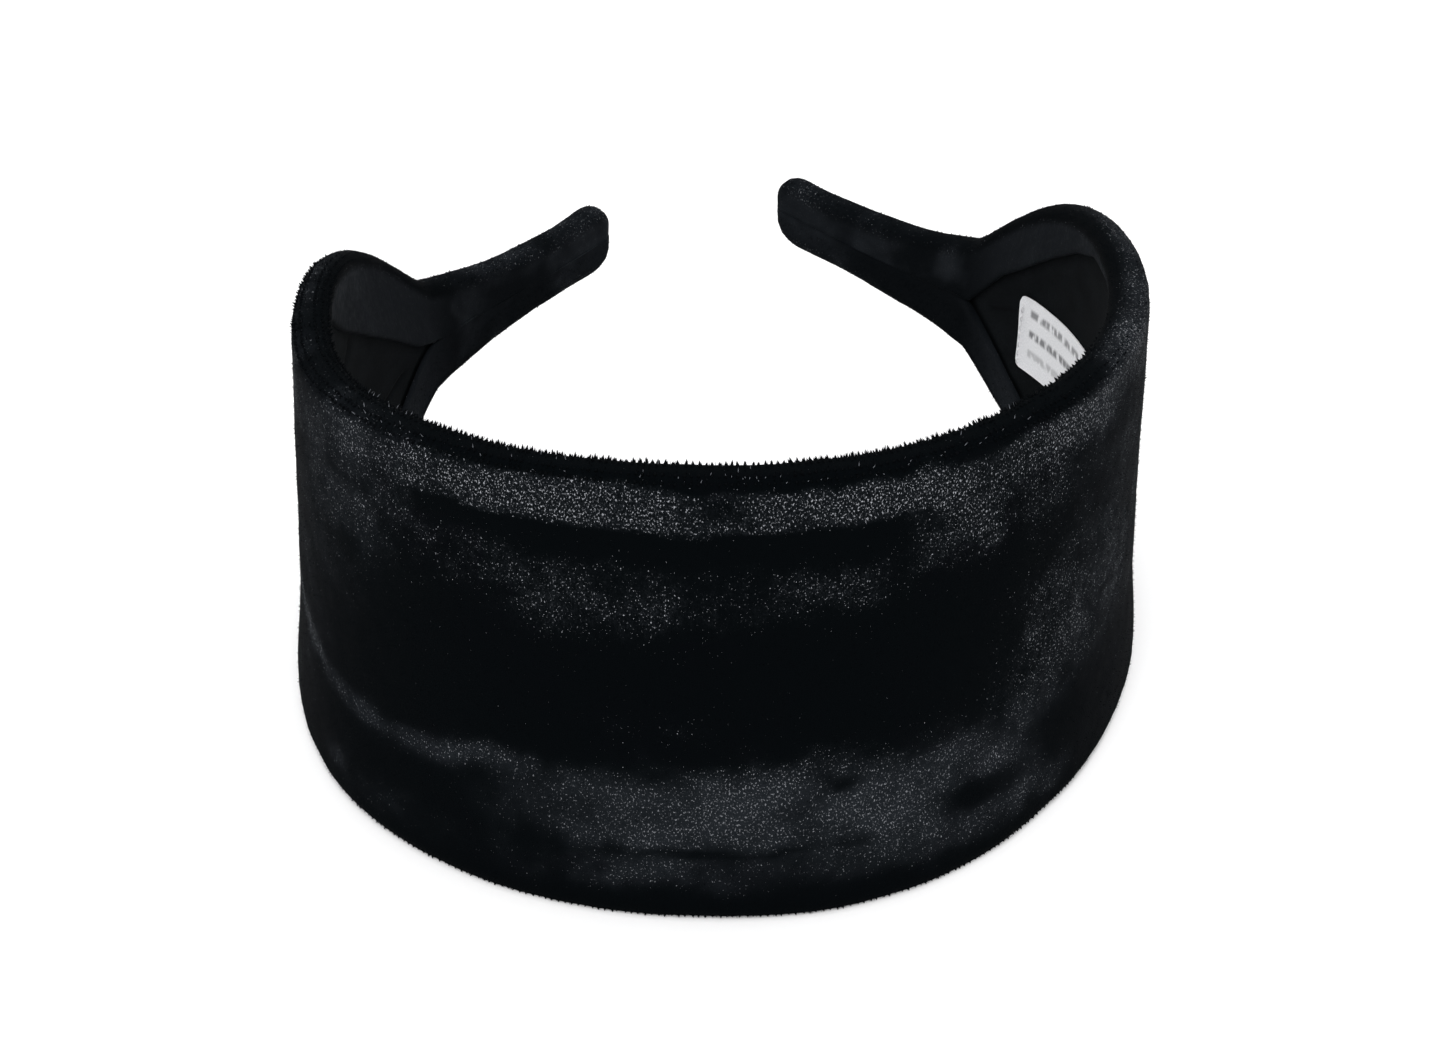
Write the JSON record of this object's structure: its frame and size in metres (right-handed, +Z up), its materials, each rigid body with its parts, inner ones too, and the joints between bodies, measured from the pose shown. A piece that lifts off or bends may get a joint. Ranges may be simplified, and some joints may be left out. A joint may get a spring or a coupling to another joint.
{
  "type": "headband",
  "caption": "Wide padded velvet headband whose front panel narrows at rounded shoulders to two springy arms that grip the head behind the ears.",
  "frame": {"origin": "on the table, at the middle of the bounding box, under the open space that the head fills", "axes": "+Z up, +Y from the front panel towards the tips of the arms, +X towards the wearer's left"},
  "size_m": [0.146, 0.1722, 0.0765],
  "materials": {
    "velvet": "crushed pile",
    "lining": "matt knit",
    "core": "moulded satin",
    "foam": "open-cell foam",
    "label": "satin",
    "thread": "spun thread"
  },
  "bodies": {
    "panel": {"panel_core": "core", "panel_foam": "foam", "panel_velvet": "velvet", "lining": "lining", "care_label": "label", "label_thread": "thread"},
    "left_arm": {"left_arm_core": "core", "left_arm_foam": "foam", "left_arm_velvet": "velvet", "left_arm_seam_thread": "thread"},
    "right_arm": {"right_arm_core": "core", "right_arm_foam": "foam", "right_arm_velvet": "velvet", "right_arm_seam_thread": "thread"}
  },
  "joints": [
    {"name": "left_arm_spread", "type": "hinge", "parent": "panel", "child": "left_arm", "pos_m": [-0.05451, 0.03692, 0.03228], "axis": [0.0514, 0.0193, 0.9985], "range_deg": [-4, 22], "stiffness_Nm_per_rad": 0.3},
    {"name": "right_arm_spread", "type": "hinge", "parent": "panel", "child": "right_arm", "pos_m": [0.05394, 0.04809, 0.03163], "axis": [0.026, -0.0346, -0.9991], "range_deg": [-4, 22], "stiffness_Nm_per_rad": 0.3}
  ]
}
